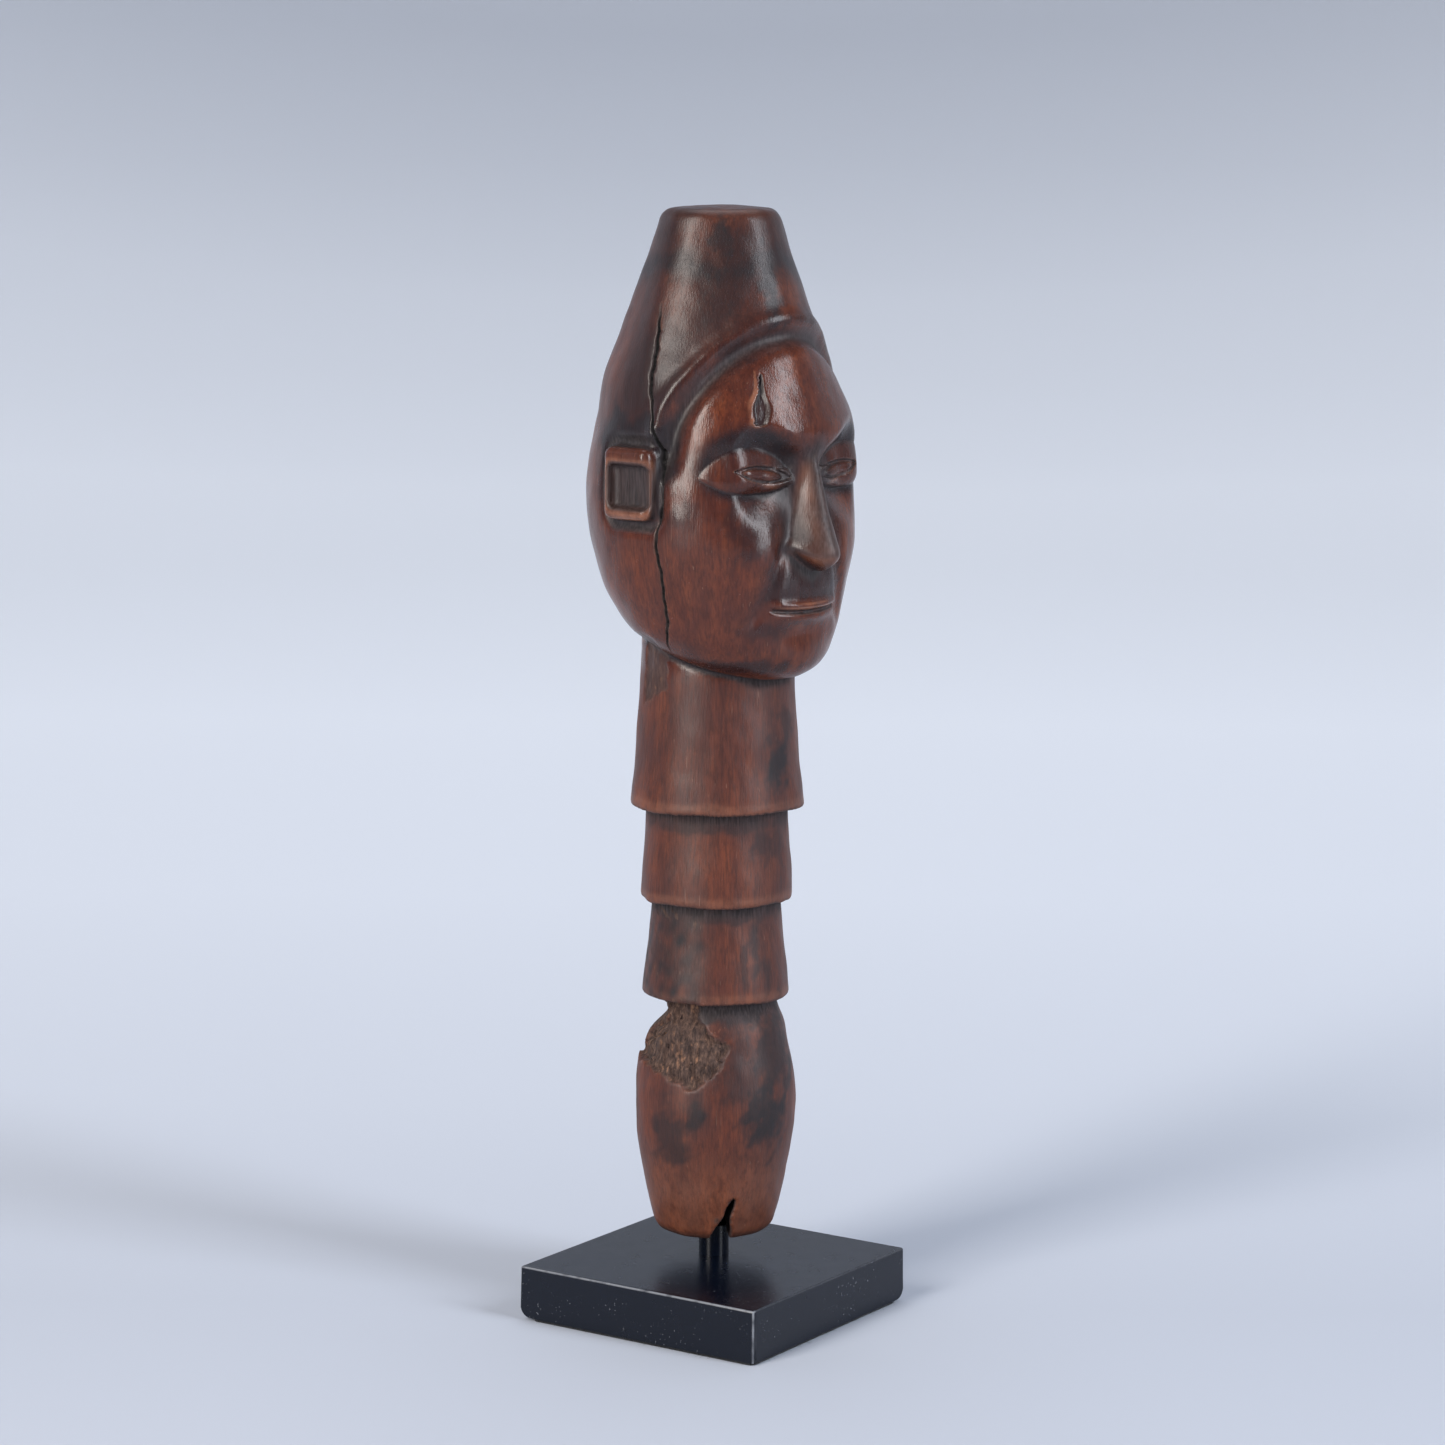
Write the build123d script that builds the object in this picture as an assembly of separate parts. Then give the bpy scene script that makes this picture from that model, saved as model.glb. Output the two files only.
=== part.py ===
"""A carved wooden fertility doll on a small display stand, in millimetres.

The figure is one piece of hardwood: a head with a tall flat-topped coiffure, a long ringed neck
and a barrel-shaped foot. It drops over a sleeved steel pin. The pin turns in the socket of a short
post, and the post is screwed to a square steel block with felt under it.

Z is the pin's axis, and Z = 0 is the surface that the stand rests on. The figure is drawn facing
-Y and then turned a little on its pin. Azimuths run from -Y towards +X, in degrees.
"""

from build123d import *
import math
import os

# The stand's block and felt
BLOCK_SIDE = 50.8
BLOCK_THICK = 9.5
BLOCK_EDGE = 0.4  # small bevel on the top and upright edges
BLOCK_WORN_EDGE = 2.2  # round on the two rear bottom edges
BLOCK_X, BLOCK_Y = -2.5, -1.7  # the block's centre, seen from the pin's axis
FELT_THICK = 0.5
FELT_INSET, FELT_CORNER = 0.3, 1.0
BLOCK_TOP = FELT_THICK + BLOCK_THICK

# The post, which carries the figure, and its fixing from below
POST_RADIUS = 2.75
POST_TOP = BLOCK_TOP + 6.0
SPIGOT_RADIUS = 2.0
SPIGOT_LENGTH = 5.0
SPIGOT_GAP = 0.05  # radial play of the spigot in the block
SOCKET_FLOOR = BLOCK_TOP - 1.2
SCREW_RADIUS = 1.25  # M2.5
SCREW_HEAD_RADIUS, SCREW_HEAD_THICK = 2.25, 1.4
SCREW_REACH = 2.6  # how far the screw goes into the post
SCREW_KEY = 0.75  # half the width of the hexagonal key hole
WASHER_RADIUS, WASHER_THICK = 2.7, 0.5
COUNTERBORE_RADIUS, COUNTERBORE_DEPTH = 3.1, 2.5

# The pin and the sleeve that keeps it off the wood
PIN_RADIUS = 1.5875  # 1/8 inch rod
PIN_PLAY = 0.04
PIN_TOP = POST_TOP + 25.0
SLEEVE_RADIUS = 2.0
SLEEVE_BOTTOM = POST_TOP + 0.4
SLEEVE_TOP = PIN_TOP - 1.5
BORE_RADIUS = SLEEVE_RADIUS + 0.05
BORE_TOP = PIN_TOP + 1.0

# The figure's turned-looking lower part: (radius, height) from the foot's underside to the neck
FIGURE_TURN = -10.0
FOOT_Z = POST_TOP
FOOT_EDGE = 2.2
RING_3_Z, RING_2_Z, RING_1_Z = 59.0, 76.8, 94.0  # undersides of the three collars
RING_ROOT = 1.4  # how far up a collar's underside rises towards the axis
BARREL = [(9.6, FOOT_Z), (12.3, 23.0), (14.4, 39.0), (13.6, 48.5), (11.0, 57.0)]
RING_3 = [(13.3, RING_3_Z), (12.5, 67.5), (11.7, RING_2_Z - 1.0)]
RING_2 = [(13.7, RING_2_Z), (13.4, 85.0), (13.0, RING_1_Z - 1.0)]
RING_1 = [(15.7, RING_1_Z), (14.8, 102.0), (14.1, 114.0), (13.6, 128.0)]

# The head as level ovals: (height, half width, half depth, how far the centre is forward, pinch).
# Pinch thins an oval towards its two sides, which gives the coiffure a ridge above each ear.
HEAD = [
    (118.0, 5.0, 4.0, 14.0, 0.0),
    (120.0, 10.0, 8.5, 10.8, 0.0),
    (125.0, 17.0, 15.7, 5.3, 0.0),
    (132.0, 20.3, 19.7, 2.1, 0.0),
    (142.0, 22.6, 22.5, 0.3, 0.0),
    (152.0, 23.1, 23.6, -0.4, 0.0),
    (162.0, 22.2, 23.6, 1.0, 0.05),
    (172.0, 19.7, 20.8, 0.9, 0.12),
    (184.0, 15.7, 16.2, 0.2, 0.2),
    (201.2, 9.9, 10.3, 0.0, 0.2),
]
OVAL_POINTS = 12
CONE_Z = 172.0  # the oval where the egg of the head ends and the cone of the coiffure starts
CROWN_EDGE = 0.8  # the flat crown's bevel, above the last oval

# The hairline: an arch that leaves the face one step below the hair
HAIRLINE_FOOT_Z, HAIRLINE_TOP_Z = 158.0, 181.0
HAIRLINE_HALF_WIDTH = 22.0
HAIRLINE_STEP = 1.1

# Features of the face, given as (x, y forward of the axis, z)
EYE_X, EYE_Y, EYE_Z = 10.2, 18.0, 155.0
EYE_HALF_LENGTH, EYE_RADIUS, EYE_SLOT = 7.4, 3.6, 0.7
SOCKET_HALF_LENGTH, SOCKET_RADIUS, SOCKET_OUT = 8.6, 6.0, 5.2
NOSE = [(160.0, 1.6, 20.9), (152.0, 1.9, 22.0), (145.0, 2.8, 22.9), (140.5, 4.8, 23.6)]
NOSE_HALF_DEPTH = 3.8
NOSE_BOTTOM_Z, NOSE_TUCK = 138.6, 1.7  # the nose's underside, and how far it turns in there
MOUTH_Z, MOUTH_Y = 131.0, 20.3
MOUTH_HALF_LENGTH, LIP_RADIUS, MOUTH_SLOT = 8.2, 2.4, 0.5

# The ears: flat blocks with a square recess
EAR_LENGTH, EAR_HEIGHT, EAR_CORNER = 11.5, 13.0, 2.2
EAR_FORWARD, EAR_Z = 0.6, 153.5
EAR_INNER, EAR_OUTER = 19.0, 24.6
EAR_RIM, EAR_RECESS = 2.3, 2.4

# Damage: the split over the pin and the chip below the lowest collar
SPLIT_AZIMUTH, SPLIT_LEAN = -40.0, 17.0
SPLIT_WIDTH, SPLIT_HEIGHT = 3.3, 7.4
CHIP_AZIMUTH, CHIP_Z, CHIP_RADIUS, CHIP_OUT = -150.0, 54.0, 4.6, 14.6


def level(height):
    """A level plane at this height, facing up."""
    return Plane(origin=(0, 0, height))


def rod(radius, bottom, top):
    """A round bar on the pin's axis."""
    return level(bottom) * extrude(Circle(radius), top - bottom)


def outwards(azimuth):
    """The level direction that an azimuth names."""
    angle = math.radians(azimuth)
    return Vector(math.sin(angle), -math.cos(angle), 0)


def spindle(half_length, radius):
    """An ellipsoid whose long axis is X and whose other two axes are equal."""
    half = Ellipse(half_length, radius) & Pos(0, radius) * Rectangle(4 * half_length, 2 * radius)
    return revolve(half, Axis.X, 360)


def base_block():
    block = Pos(BLOCK_X, BLOCK_Y, FELT_THICK) * Box(
        BLOCK_SIDE, BLOCK_SIDE, BLOCK_THICK, align=(Align.CENTER, Align.CENTER, Align.MIN)
    )
    bottom = block.edges().filter_by_position(Axis.Z, FELT_THICK, FELT_THICK)
    rear = [bottom.sort_by(Axis.X)[-1], bottom.sort_by(Axis.Y)[-1]]
    block = fillet(rear, BLOCK_WORN_EDGE)
    top = block.edges().filter_by_position(Axis.Z, BLOCK_TOP, BLOCK_TOP)
    block = chamfer(top, BLOCK_EDGE)
    seat_floor = BLOCK_TOP - SPIGOT_LENGTH - 0.2
    block -= rod(SPIGOT_RADIUS + SPIGOT_GAP, seat_floor, BLOCK_TOP + 1)
    block -= rod(SCREW_RADIUS + 0.15, 0, seat_floor + 0.1)
    block -= rod(COUNTERBORE_RADIUS, 0, FELT_THICK + COUNTERBORE_DEPTH)
    return block


def base_felt():
    """A felt sheet stuck under the flat of the block, where it also hides the screw."""
    side = BLOCK_SIDE - 2 * FELT_INSET - BLOCK_WORN_EDGE
    shift = BLOCK_WORN_EDGE / 2
    sheet = RectangleRounded(side, side, FELT_CORNER)
    return Pos(BLOCK_X - shift, BLOCK_Y - shift) * extrude(sheet, FELT_THICK)


def mount_post():
    post = rod(POST_RADIUS, BLOCK_TOP, POST_TOP)
    post = chamfer(post.edges().group_by(Axis.Z)[-1], 0.3)
    post += rod(SPIGOT_RADIUS, BLOCK_TOP - SPIGOT_LENGTH, BLOCK_TOP)
    post -= rod(PIN_RADIUS + PIN_PLAY, SOCKET_FLOOR, POST_TOP + 1)
    post -= rod(SCREW_RADIUS, 0, BLOCK_TOP - SPIGOT_LENGTH + SCREW_REACH + 0.3)
    return post


def post_screw():
    """A button-head machine screw, with its thread drawn as a plain shank."""
    under_head = FELT_THICK + COUNTERBORE_DEPTH - WASHER_THICK
    head = rod(SCREW_HEAD_RADIUS, under_head - SCREW_HEAD_THICK, under_head)
    head = fillet(head.edges().group_by(Axis.Z)[0], 0.7)
    key_hole = RegularPolygon(SCREW_KEY, 6, major_radius=False)
    head -= level(under_head - SCREW_HEAD_THICK - 1) * extrude(key_hole, 1.9)
    shank_top = BLOCK_TOP - SPIGOT_LENGTH + SCREW_REACH
    return head + rod(SCREW_RADIUS - 0.02, under_head, shank_top)


def post_washer():
    top = FELT_THICK + COUNTERBORE_DEPTH
    bottom = top - WASHER_THICK
    return rod(WASHER_RADIUS, bottom, top) - rod(SCREW_RADIUS + 0.1, bottom - 1, top + 1)


def mount_pin():
    pin = rod(PIN_RADIUS, SOCKET_FLOOR + 0.1, PIN_TOP)
    return fillet(pin.edges().group_by(Axis.Z)[-1], 0.9)


def pin_sleeve():
    """A shrunk-on plastic tube round the pin, where the pin is in the wood."""
    return rod(SLEEVE_RADIUS, SLEEVE_BOTTOM, SLEEVE_TOP) - rod(PIN_RADIUS, SLEEVE_BOTTOM - 1, SLEEVE_TOP + 1)


def ringed_neck():
    """The barrel foot, the three collars and the neck, as one revolved outline."""
    outline = [Line((0, FOOT_Z), BARREL[0]), Spline(*BARREL)]
    end = BARREL[-1]
    for collar in (RING_3, RING_2, RING_1):
        root = (end[0], collar[0][1] + RING_ROOT)
        outline += [Line(end, root), Line(root, collar[0]), Spline(*collar)]
        end = collar[-1]
    outline += [Line(end, (0, end[1])), Line((0, end[1]), (0, FOOT_Z))]
    neck = revolve(Plane.XZ * make_face(outline), Axis.Z, 360)
    return fillet(neck.edges().group_by(Axis.Z)[0], FOOT_EDGE)


def oval(half_width, half_depth, pinch):
    """A closed smooth outline round the origin, thinned towards its two sides by pinch."""
    points = []
    for step in range(OVAL_POINTS):
        angle = math.tau * step / OVAL_POINTS
        across, along = math.cos(angle), math.sin(angle)
        points.append((half_width * across, half_depth * along * (1 - pinch * across**2)))
    return make_face(Spline(*points, periodic=True))


def head_shape(inset, low, high):
    """The egg of the head and the cone of the coiffure, between the ovals at these two heights."""
    egg, cone = [], []
    for z, half_width, half_depth, forward, pinch in HEAD:
        section = Plane(origin=(0, -forward, z)) * oval(half_width - inset, half_depth - inset, pinch)
        if low <= z <= CONE_Z:
            egg.append(section)
        if CONE_Z <= z <= high:
            cone.append(section)
    return loft(egg) + loft(cone)


def head():
    """The coiffure stops at the hairline, and the face lies one step inside it."""
    crown_z, half_width, half_depth, _, pinch = HEAD[-1]
    outer = head_shape(0, HEAD[0][0], crown_z)
    bevel = [
        level(crown_z + rise) * oval(half_width - rise, half_depth - rise, pinch)
        for rise in (0, CROWN_EDGE)
    ]
    outer += loft(bevel)
    inner = head_shape(HAIRLINE_STEP, 142.0, 184.0)
    arch_height = HAIRLINE_TOP_Z - HAIRLINE_FOOT_Z
    arch = Ellipse(HAIRLINE_HALF_WIDTH, arch_height)
    arch &= Pos(0, arch_height / 2) * Rectangle(2 * HAIRLINE_HALF_WIDTH, arch_height)
    front = Plane(origin=(0, -4, HAIRLINE_FOOT_Z), x_dir=(1, 0, 0), z_dir=(0, -1, 0))
    opening = front * extrude(arch, 40)
    return (outer - opening) + inner


def eye(side):
    """An almond eye in its socket: what to cut and what to add, for the eye on this side of X = 0."""
    turn = Rot(0, 0, side * 26)
    centre = Pos(side * EYE_X, -EYE_Y, EYE_Z)
    socket = Pos(side * EYE_X, -EYE_Y - SOCKET_OUT, EYE_Z + 1.5) * turn * spindle(SOCKET_HALF_LENGTH, SOCKET_RADIUS)
    ball = centre * turn * spindle(EYE_HALF_LENGTH, EYE_RADIUS)
    slot = centre * turn * Pos(0, -EYE_RADIUS - 0.3, -0.6) * Box(1.3 * EYE_HALF_LENGTH, 1.8, EYE_SLOT)
    return socket, ball - slot


def nose():
    """A long ridge that widens downwards, and then turns in under its tip."""
    sections = [
        Plane(origin=(0, -forward, z)) * oval(half_width, NOSE_HALF_DEPTH, 0)
        for z, half_width, forward in reversed(NOSE)
    ]
    _, tip_width, tip_forward = NOSE[-1]
    under = [
        Plane(origin=(0, NOSE_TUCK - tip_forward, NOSE_BOTTOM_Z))
        * oval(tip_width - NOSE_TUCK, NOSE_HALF_DEPTH - NOSE_TUCK, 0),
        sections[0],
    ]
    return loft(sections) + loft(under)


def mouth():
    """Two lips with a slot between them."""
    lips = Pos(0, -MOUTH_Y, MOUTH_Z) * spindle(MOUTH_HALF_LENGTH, LIP_RADIUS)
    slot = Pos(0, -MOUTH_Y - LIP_RADIUS, MOUTH_Z) * Box(1.6 * MOUTH_HALF_LENGTH, 1.6, MOUTH_SLOT)
    return lips - slot


def ear(side):
    """A rounded square block, hollowed from its outer face."""
    face = Plane(origin=(side * EAR_INNER, -EAR_FORWARD, EAR_Z), x_dir=(0, 1, 0), z_dir=(side, 0, 0))
    block = face * extrude(RectangleRounded(EAR_LENGTH, EAR_HEIGHT, EAR_CORNER), EAR_OUTER - EAR_INNER)
    hollow = RectangleRounded(EAR_LENGTH - 2 * EAR_RIM, EAR_HEIGHT - 2 * EAR_RIM, EAR_CORNER / 2)
    floor = face.offset(EAR_OUTER - EAR_INNER - EAR_RECESS)
    return block, floor * extrude(hollow, 2 * EAR_RECESS)


def split_over_pin():
    """The V-shaped split in the foot, from the pin's bore to the outside."""
    plane = Plane(
        origin=(0, 0, FOOT_Z), x_dir=outwards(SPLIT_AZIMUTH + 90), z_dir=outwards(SPLIT_AZIMUTH)
    )
    lean = SPLIT_HEIGHT * math.tan(math.radians(SPLIT_LEAN))
    half = SPLIT_WIDTH / 2
    wedge = make_face(Polyline((-half, -1), (half, -1), (lean, SPLIT_HEIGHT), (-half, -1)))
    return plane * extrude(wedge, BARREL[2][0] + 2)


def carved_figure():
    figure = ringed_neck() + head()
    for side in (-1, 1):
        socket, ball = eye(side)
        figure = figure - socket + ball
        block, hollow = ear(side)
        figure = figure + block - hollow
    figure = figure + nose() + mouth()
    chip = CHIP_OUT * outwards(CHIP_AZIMUTH)
    figure -= Pos(chip.X, chip.Y, CHIP_Z) * Sphere(CHIP_RADIUS)
    figure -= rod(BORE_RADIUS, FOOT_Z - 1, BORE_TOP)
    figure -= split_over_pin()
    return Rot(0, 0, FIGURE_TURN) * figure


PARTS = {
    "base_block": base_block,
    "base_felt": base_felt,
    "mount_post": mount_post,
    "post_screw": post_screw,
    "post_washer": post_washer,
    "mount_pin": mount_pin,
    "pin_sleeve": pin_sleeve,
    "carved_figure": carved_figure,
}

os.makedirs("parts", exist_ok=True)
for name, make in PARTS.items():
    export_step(make(), f"parts/{name}.step")
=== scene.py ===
"""A carved fertility doll on a small black stand.

The doll is carved here as one solid of wood: a field gives, for any point, about how far it lies
from the wood's surface in millimetres, and a net of points is drawn over the surface and pulled
onto it. The marks of age, such as stains, worn places and broken wood, are laid on as shares from
0 to 1 at every point, together with painted shade in the hollows, the creases and under the
collars and jaw, and the wood's material reads them.

The carving is worked in the doll's own measure: across (its left is positive), forward and up, in
millimetres, with azimuths in degrees from straight ahead towards its left. turned() takes that to
the stand's frame in metres.
"""

import math

import bmesh
import bpy
import numpy as np
from mathutils import Matrix, Quaternion, Vector


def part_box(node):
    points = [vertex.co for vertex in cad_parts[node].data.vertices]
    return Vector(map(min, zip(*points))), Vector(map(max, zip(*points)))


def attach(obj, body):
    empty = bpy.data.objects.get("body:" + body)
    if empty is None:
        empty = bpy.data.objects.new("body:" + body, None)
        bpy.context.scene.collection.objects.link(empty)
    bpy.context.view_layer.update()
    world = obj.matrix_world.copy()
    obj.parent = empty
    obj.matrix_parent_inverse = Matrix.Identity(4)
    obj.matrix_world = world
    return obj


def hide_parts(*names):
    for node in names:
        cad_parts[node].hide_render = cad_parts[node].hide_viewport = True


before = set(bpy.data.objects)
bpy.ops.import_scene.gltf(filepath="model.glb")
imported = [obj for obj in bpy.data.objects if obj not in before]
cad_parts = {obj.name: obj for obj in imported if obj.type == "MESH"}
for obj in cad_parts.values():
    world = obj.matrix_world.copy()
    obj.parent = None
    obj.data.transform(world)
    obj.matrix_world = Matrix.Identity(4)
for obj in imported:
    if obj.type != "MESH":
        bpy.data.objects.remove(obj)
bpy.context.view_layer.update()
MM = 0.001

# ---------------------------------------------------------------- camera

BLOCK_LOW, BLOCK_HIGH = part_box("base_block")
BLOCK_MIDDLE = (BLOCK_LOW + BLOCK_HIGH) / 2
VIEW_AZIMUTH = math.radians(-56.35)
VIEW_HEIGHT = math.radians(8.5)
VIEW_DISTANCE = 0.75
VIEW_ROLL = math.radians(0.4)
AIM_UP, AIM_RIGHT = 0.1093, 0.0009
LENS_MM, FILM_MM = 103.6, 36.0


def add_camera():
    """A long lens from the doll's front right, a little above its middle."""
    right = Vector((math.cos(VIEW_AZIMUTH), math.sin(VIEW_AZIMUTH), 0))
    back = Vector((math.sin(VIEW_AZIMUTH), -math.cos(VIEW_AZIMUTH), 0)) * math.cos(VIEW_HEIGHT)
    back.z = math.sin(VIEW_HEIGHT)
    aim = Vector((BLOCK_MIDDLE.x, BLOCK_MIDDLE.y, AIM_UP)) + right * AIM_RIGHT
    camera = bpy.data.objects.new("camera", bpy.data.cameras.new("camera"))
    camera.data.lens = LENS_MM
    camera.data.sensor_width = FILM_MM
    camera.location = aim + back * VIEW_DISTANCE
    camera.rotation_mode = "QUATERNION"
    camera.rotation_quaternion = back.to_track_quat("Z", "Y") @ Quaternion((0, 0, 1), VIEW_ROLL)
    bpy.context.scene.collection.objects.link(camera)
    bpy.context.scene.camera = camera


add_camera()

# ---------------------------------------------------------------- shaping tools


def ease(low, high, value):
    """0 at low, 1 at high, and smooth between them."""
    share = np.clip((value - low) / (high - low), 0, 1)
    return share * share * (3 - 2 * share)


def hump(value, centre, width):
    """A smooth hump of height 1, which has fallen to about a third at width from its centre."""
    return np.exp(-(((value - centre) / width) ** 2))


def joined(a, b, soft):
    """Both shapes together, with the corner between them filled over about soft millimetres."""
    near = np.maximum(soft - np.abs(a - b), 0) / soft
    return np.minimum(a, b) - near * near * soft / 4


def shared(a, b, soft):
    """What two shapes share, with the edge between them worn over about soft millimetres."""
    return -joined(-a, -b, soft)


def through(points, at):
    """A smooth curve through (position, value) points, level beyond its two ends."""
    place, value = np.array(points, float).T
    slope = np.gradient(value, place)
    at = np.clip(at, place[0], place[-1])
    i = np.clip(np.searchsorted(place, at) - 1, 0, len(place) - 2)
    span = place[i + 1] - place[i]
    t = (at - place[i]) / span
    start = (1 + 2 * t) * (1 - t) ** 2 * value[i] + t * (1 - t) ** 2 * span * slope[i]
    return start + t * t * (3 - 2 * t) * value[i + 1] + t * t * (t - 1) * span * slope[i + 1]


def ball(across, forward, up, middle, radii):
    """About how far a point is from an ellipsoid."""
    parts = [(v - m) / r for v, m, r in zip((across, forward, up), middle, radii)]
    near = np.sqrt(sum(p * p for p in parts))
    steep = np.sqrt(sum((p / r) ** 2 for p, r in zip(parts, radii)))
    return near * (near - 1) / np.maximum(steep, 1e-9)


def brick(across, forward, up, middle, half, corner):
    """How far a point is from a box with rounded corners."""
    over = [np.abs(v - m) - h + corner for v, m, h in zip((across, forward, up), middle, half)]
    outside = np.sqrt(sum(np.maximum(o, 0) ** 2 for o in over))
    return outside + np.minimum(np.maximum.reduce(over), 0) - corner


def unevenness(across, forward, up, size, seed, along=1.0):
    """Smooth chance ripples from about -1 to 1, size mm apart and longer up the grain."""
    chance = np.random.default_rng(seed)
    total = 0
    for _ in range(9):
        way = chance.normal(size=3)
        way *= chance.uniform(0.7, 1.4) * math.tau / size / np.linalg.norm(way)
        phase = chance.uniform(0, math.tau)
        total = total + np.sin(across * way[0] + forward * way[1] + up * way[2] / along + phase)
    return total / 4


def azimuth_of(across, forward):
    """Degrees from straight ahead, positive towards the doll's left."""
    return np.degrees(np.arctan2(across, forward))


# ---------------------------------------------------------------- the carving's measures

FOOT, CROWN = 15.1, 201.9
NECK_IN_HEAD = 132.0

# Outlines of the turned parts, from the foot up: (height, radius)
BARREL = [(16, 10.8), (21, 12.1), (27, 13.3), (34, 14.4), (41, 14.7)]
BARREL += [(46, 14.2), (50, 13.4), (54, 12.6), (57, 11.4), (60, 10.8)]
RING_3 = [(58.7, 13.5), (63, 13.1), (69, 12.35), (76, 11.7)]
RING_2 = [(76.5, 13.8), (82, 13.6), (88, 13.1), (93, 12.9)]
RING_1 = [(93.6, 15.9), (97, 15.5), (102, 14.9), (107, 14.6), (114, 14.1), (122, 13.8)]
RING_EDGE, FOOT_EDGE, UNDERCUT = 1.3, 2.4, 0.45

# The head, level by level: (height, half width, half depth, how far its middle is forward).
HEAD = [
    (118.2, 6.0, 5.0, 12.4),
    (120.5, 12.0, 10.2, 9.1),
    (125, 17.6, 16.2, 4.4),
    (131, 20.3, 20.0, 1.7),
    (140, 22.2, 22.5, -0.2),
    (150, 23.0, 23.2, -1.0),
    (156, 22.9, 23.4, -0.6),
    (162, 22.4, 23.6, 0.8),
    (170, 21.3, 21.5, 0.9),
    (178, 19.0, 18.6, 0.4),
]
# How square the front of each level is, where 2 is an ellipse
SQUARENESS = [(118, 2.15), (135, 2.3), (148, 2.6), (156, 2.4), (162, 2.15), (170, 2.0)]

# The coiffure's half width at its side ridges, and in that measure how far forward the ridges lie,
# how far its front bulges from them and how far its back does.
COIFFURE = [(166, 24.4), (172.6, 21.9), (177.9, 19.6), (183.2, 17.5)]
COIFFURE += [(188.6, 15.5), (193.9, 13.5), (202, 10.9)]
RIDGE_FORWARD, COIFFURE_BULGE, COIFFURE_BACK = 0.2, 0.8, 1.15

HAIRLINE_UP, HAIRLINE_RISE, HAIRLINE_AZIMUTH = 158.0, 23.0, 73.0
EYE_ACROSS, EYE_FORWARD, EYE_UP, EYE_TURN = 11.6, 17.5, 155.0, math.radians(29.5)

# The nose by height: how far its ridge is forward, and its half width
NOSE_RIDGE = [(138, 26.2), (141.2, 28.3), (144, 27.8), (148, 26.2)]
NOSE_RIDGE += [(152, 25.1), (157, 23.8), (163, 23.2)]
NOSE_WIDTH = [(138, 6.3), (140.5, 6.9), (142.5, 6.7), (145, 5.4)]
NOSE_WIDTH += [(148, 4.3), (151, 3.6), (155, 3.0), (158, 2.9), (163, 3.6)]
NOSE_BASE = 17.5
MOUTH_UP, MOUTH_HALF = 131.2, 8.4

# The long drying crack on the right of the head: how far forward it lies, by height
CRACK = [(123, 3.6), (129, 6.1), (137, 6.5), (143, 6.2), (153, 6.9)]
CRACK += [(158, 6.6), (164, 5.3), (177, 3.2), (185, 1.6)]
BORE_RADIUS, BORE_TOP = 2.05, 42.0
# The split-off flake under the third collar: how far its flat face lies from the axis, by height.
FLAKE_AZIMUTH = math.radians(-136)
FLAKE = [(48.0, 14.6), (50.3, 12.7), (51.6, 11.7), (52.6, 10.3)]
FLAKE += [(54, 8.8), (55.5, 8.5), (57, 9.2), (58.3, 11.0)]

# The break on the barrel's shoulder: (mm round the barrel, height) along its foot, and
# (height, mm round the barrel) up its right side
BREAK_AZIMUTH, BREAK_RADIUS = -68, 12.5
BREAK_FOOT = [(-16, 47.5), (-9.6, 46.5), (-7, 46.4), (-3, 45.4)]
BREAK_FOOT += [(1.1, 43.9), (4.2, 46.4), (6.5, 49.4), (7.4, 51.5)]
BREAK_RIGHT = [(43, 3.5), (45.6, 4.8), (49.2, 7.0), (51.5, 7.6)]
BREAK_RIGHT += [(52.8, 5.6), (54.5, 3.4), (57, 1.8), (60, 1.8)]
SPLIT_AZIMUTH, SPLIT_TOP, SPLIT_LEAN = math.radians(-40), 23.4, 2.3


def coiffure_field(across, forward, up):
    """A flat-topped cone whose front and back meet in a soft ridge down each side."""
    wide = through(COIFFURE, up)
    x, y = np.abs(across) / wide, forward / wide - RIDGE_FORWARD
    steep = 2 * COIFFURE_BULGE * np.minimum(x, 1.2)
    front = (y - COIFFURE_BULGE * (1 - x * x)) * wide / np.hypot(1, steep)
    back = (np.hypot(x, y / COIFFURE_BACK) - 1) * wide
    return shared(front, back, 2.4)


def head_field(across, forward, up):
    """The egg of the head and the cone of the coiffure, before the face is cut into it."""
    heights = [h[0] for h in HEAD]
    wide, deep, middle = (through(list(zip(heights, [h[i] for h in HEAD])), up) for i in (1, 2, 3))
    x, y = np.abs(across) / wide, (forward - middle) / deep
    power = np.where(y > 0, through(SQUARENESS, up), 2.0)
    near = (x**power + np.abs(y) ** power) ** (1 / power)
    size = wide * deep / np.sqrt((wide * np.abs(y)) ** 2 + (deep * x) ** 2 + 1e-6)
    size = size * np.sqrt(x * x + y * y + 1e-9)
    egg = (near - 1) * np.minimum(size, np.maximum(wide, deep))
    egg = shared(egg, 118.6 + 0.35 * np.maximum(15 - forward, 0) * (up < 119) - up, 2.0)
    side = egg + (coiffure_field(across, forward, up) - egg) * ease(165, 176, up)
    dome = up - (CROWN - 0.006 * (across**2 + forward**2))
    return shared(side, dome, 2.0)


def hairline(across, forward, up):
    """Millimetres from the hairline's arch: positive in the hair, negative on the face."""
    arch_half = math.radians(HAIRLINE_AZIMUTH) * 21.5
    round_head = np.abs(np.arctan2(across, forward)) * 21.5
    high = np.maximum(up - HAIRLINE_UP, 0)
    near = np.hypot(round_head / arch_half, high / HAIRLINE_RISE)
    steep = np.hypot(round_head / arch_half**2, high / HAIRLINE_RISE**2)
    return near * (near - 1) / np.maximum(steep, 1e-6)


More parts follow.
